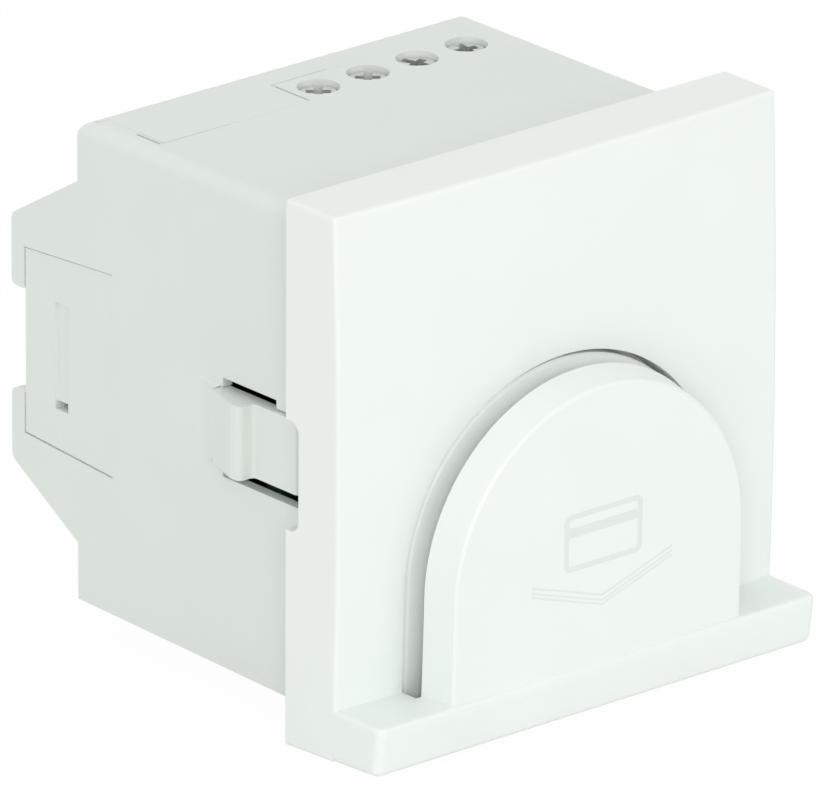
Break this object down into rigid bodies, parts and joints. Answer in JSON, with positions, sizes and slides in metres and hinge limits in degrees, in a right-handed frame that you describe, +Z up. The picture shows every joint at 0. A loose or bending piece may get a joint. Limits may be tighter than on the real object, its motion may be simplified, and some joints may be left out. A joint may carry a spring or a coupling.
{
  "type": "hotel key card switch",
  "caption": "Square snap-in wall module with a half-round dome and lip that hold a key card against a sprung paddle; clamp terminals at the top rear.",
  "frame": {"origin": "centre of the cover's rear rim, the face that rests on the mounting frame", "axes": "+X right seen from the front, +Y from the front into the wall, +Z up"},
  "size_m": [0.045, 0.0483, 0.045],
  "materials": {
    "white_cover": "fine satin moulded thermoplastic",
    "white_case": "plain moulded thermoplastic",
    "white_latch": "plain moulded thermoplastic",
    "screw_steel": "zinc plated",
    "clamp_steel": "zinc plated, folded",
    "spring_steel": "drawn wire",
    "contact_brass": "tinned brass strip",
    "board_green": "solder mask on glass laminate",
    "relay_black": "moulded cover",
    "switch_black": "moulded body",
    "plunger_red": "moulded button",
    "film_yellow": "epoxy filled case",
    "can_black": "shrink sleeve"
  },
  "bodies": {
    "case": {"front_cover": "white_cover", "switch_carrier": "white_case", "housing": "white_case", "rear_cover": "white_case", "paddle_pivot_pin": "screw_steel", "paddle_spring": "spring_steel", "microswitch_body": "switch_black", "microswitch_terminals": "contact_brass", "circuit_board": "board_green", "relay": "relay_black", "film_capacitor": "film_yellow", "smoothing_capacitor": "can_black", "bridge_rectifier": "relay_black", "timer_chip": "relay_black", "fuse_link": "switch_black", "terminal_block": "white_case", "terminal_bar_1": "contact_brass", "terminal_bar_2": "contact_brass", "terminal_bar_3": "contact_brass", "terminal_bar_4": "contact_brass"},
    "paddle": {"card_paddle": "white_latch"},
    "plunger": {"microswitch_plunger": "plunger_red"},
    "latch_left": {"side_latch_left": "white_latch"},
    "latch_right": {"side_latch_right": "white_latch"},
    "screw_1": {"terminal_screw_1": "screw_steel"},
    "clamp_1": {"terminal_clamp_1": "clamp_steel"},
    "screw_2": {"terminal_screw_2": "screw_steel"},
    "clamp_2": {"terminal_clamp_2": "clamp_steel"},
    "screw_3": {"terminal_screw_3": "screw_steel"},
    "clamp_3": {"terminal_clamp_3": "clamp_steel"},
    "screw_4": {"terminal_screw_4": "screw_steel"},
    "clamp_4": {"terminal_clamp_4": "clamp_steel"}
  },
  "joints": [
    {"name": "paddle_press", "type": "hinge", "parent": "case", "child": "paddle", "pos_m": [0, -0.0006, -0.017], "axis": [-1, 0, 0], "range_deg": [0, 4], "stiffness_Nm_per_rad": 0.05, "springref_deg": -5.73, "deforming": ["paddle_spring"]},
    {"name": "plunger_travel", "type": "slide", "parent": "case", "child": "plunger", "axis": [0, 1, 0], "range_m": [0, 0.0008]},
    {"name": "latch_left_release", "type": "hinge", "parent": "case", "child": "latch_left", "pos_m": [-0.01893, 0.0117, 0], "axis": [0, 0, 1], "range_deg": [0, 14], "stiffness_Nm_per_rad": 0.18},
    {"name": "latch_right_release", "type": "hinge", "parent": "case", "child": "latch_right", "pos_m": [0.01893, 0.0117, 0], "axis": [0, 0, -1], "range_deg": [0, 14], "stiffness_Nm_per_rad": 0.18},
    {"name": "clamp_1_rise", "type": "slide", "parent": "case", "child": "clamp_1", "axis": [0, 0, 1], "range_m": [0, 0.00225]},
    {"name": "screw_1_turn", "type": "hinge", "parent": "case", "child": "screw_1", "pos_m": [0, 0.0227, 0.018], "axis": [0, 0, -1], "range_deg": [0, 1800]},
    {"name": "clamp_2_rise", "type": "slide", "parent": "case", "child": "clamp_2", "axis": [0, 0, 1], "range_m": [0, 0.00225]},
    {"name": "screw_2_turn", "type": "hinge", "parent": "case", "child": "screw_2", "pos_m": [0.00508, 0.0227, 0.018], "axis": [0, 0, -1], "range_deg": [0, 1800]},
    {"name": "clamp_3_rise", "type": "slide", "parent": "case", "child": "clamp_3", "axis": [0, 0, 1], "range_m": [0, 0.00225]},
    {"name": "screw_3_turn", "type": "hinge", "parent": "case", "child": "screw_3", "pos_m": [0.01016, 0.0227, 0.018], "axis": [0, 0, -1], "range_deg": [0, 1800]},
    {"name": "clamp_4_rise", "type": "slide", "parent": "case", "child": "clamp_4", "axis": [0, 0, 1], "range_m": [0, 0.00225]},
    {"name": "screw_4_turn", "type": "hinge", "parent": "case", "child": "screw_4", "pos_m": [0.01524, 0.0227, 0.018], "axis": [0, 0, -1], "range_deg": [0, 1800]}
  ],
  "couplings": [
    {"joint": "plunger_travel", "follows": "paddle_press", "m_per_rad": 0.009},
    {"joint": "screw_1_turn", "follows": "clamp_1_rise", "rad_per_m": 13963},
    {"joint": "screw_2_turn", "follows": "clamp_2_rise", "rad_per_m": 13963},
    {"joint": "screw_3_turn", "follows": "clamp_3_rise", "rad_per_m": 13963},
    {"joint": "screw_4_turn", "follows": "clamp_4_rise", "rad_per_m": 13963}
  ]
}
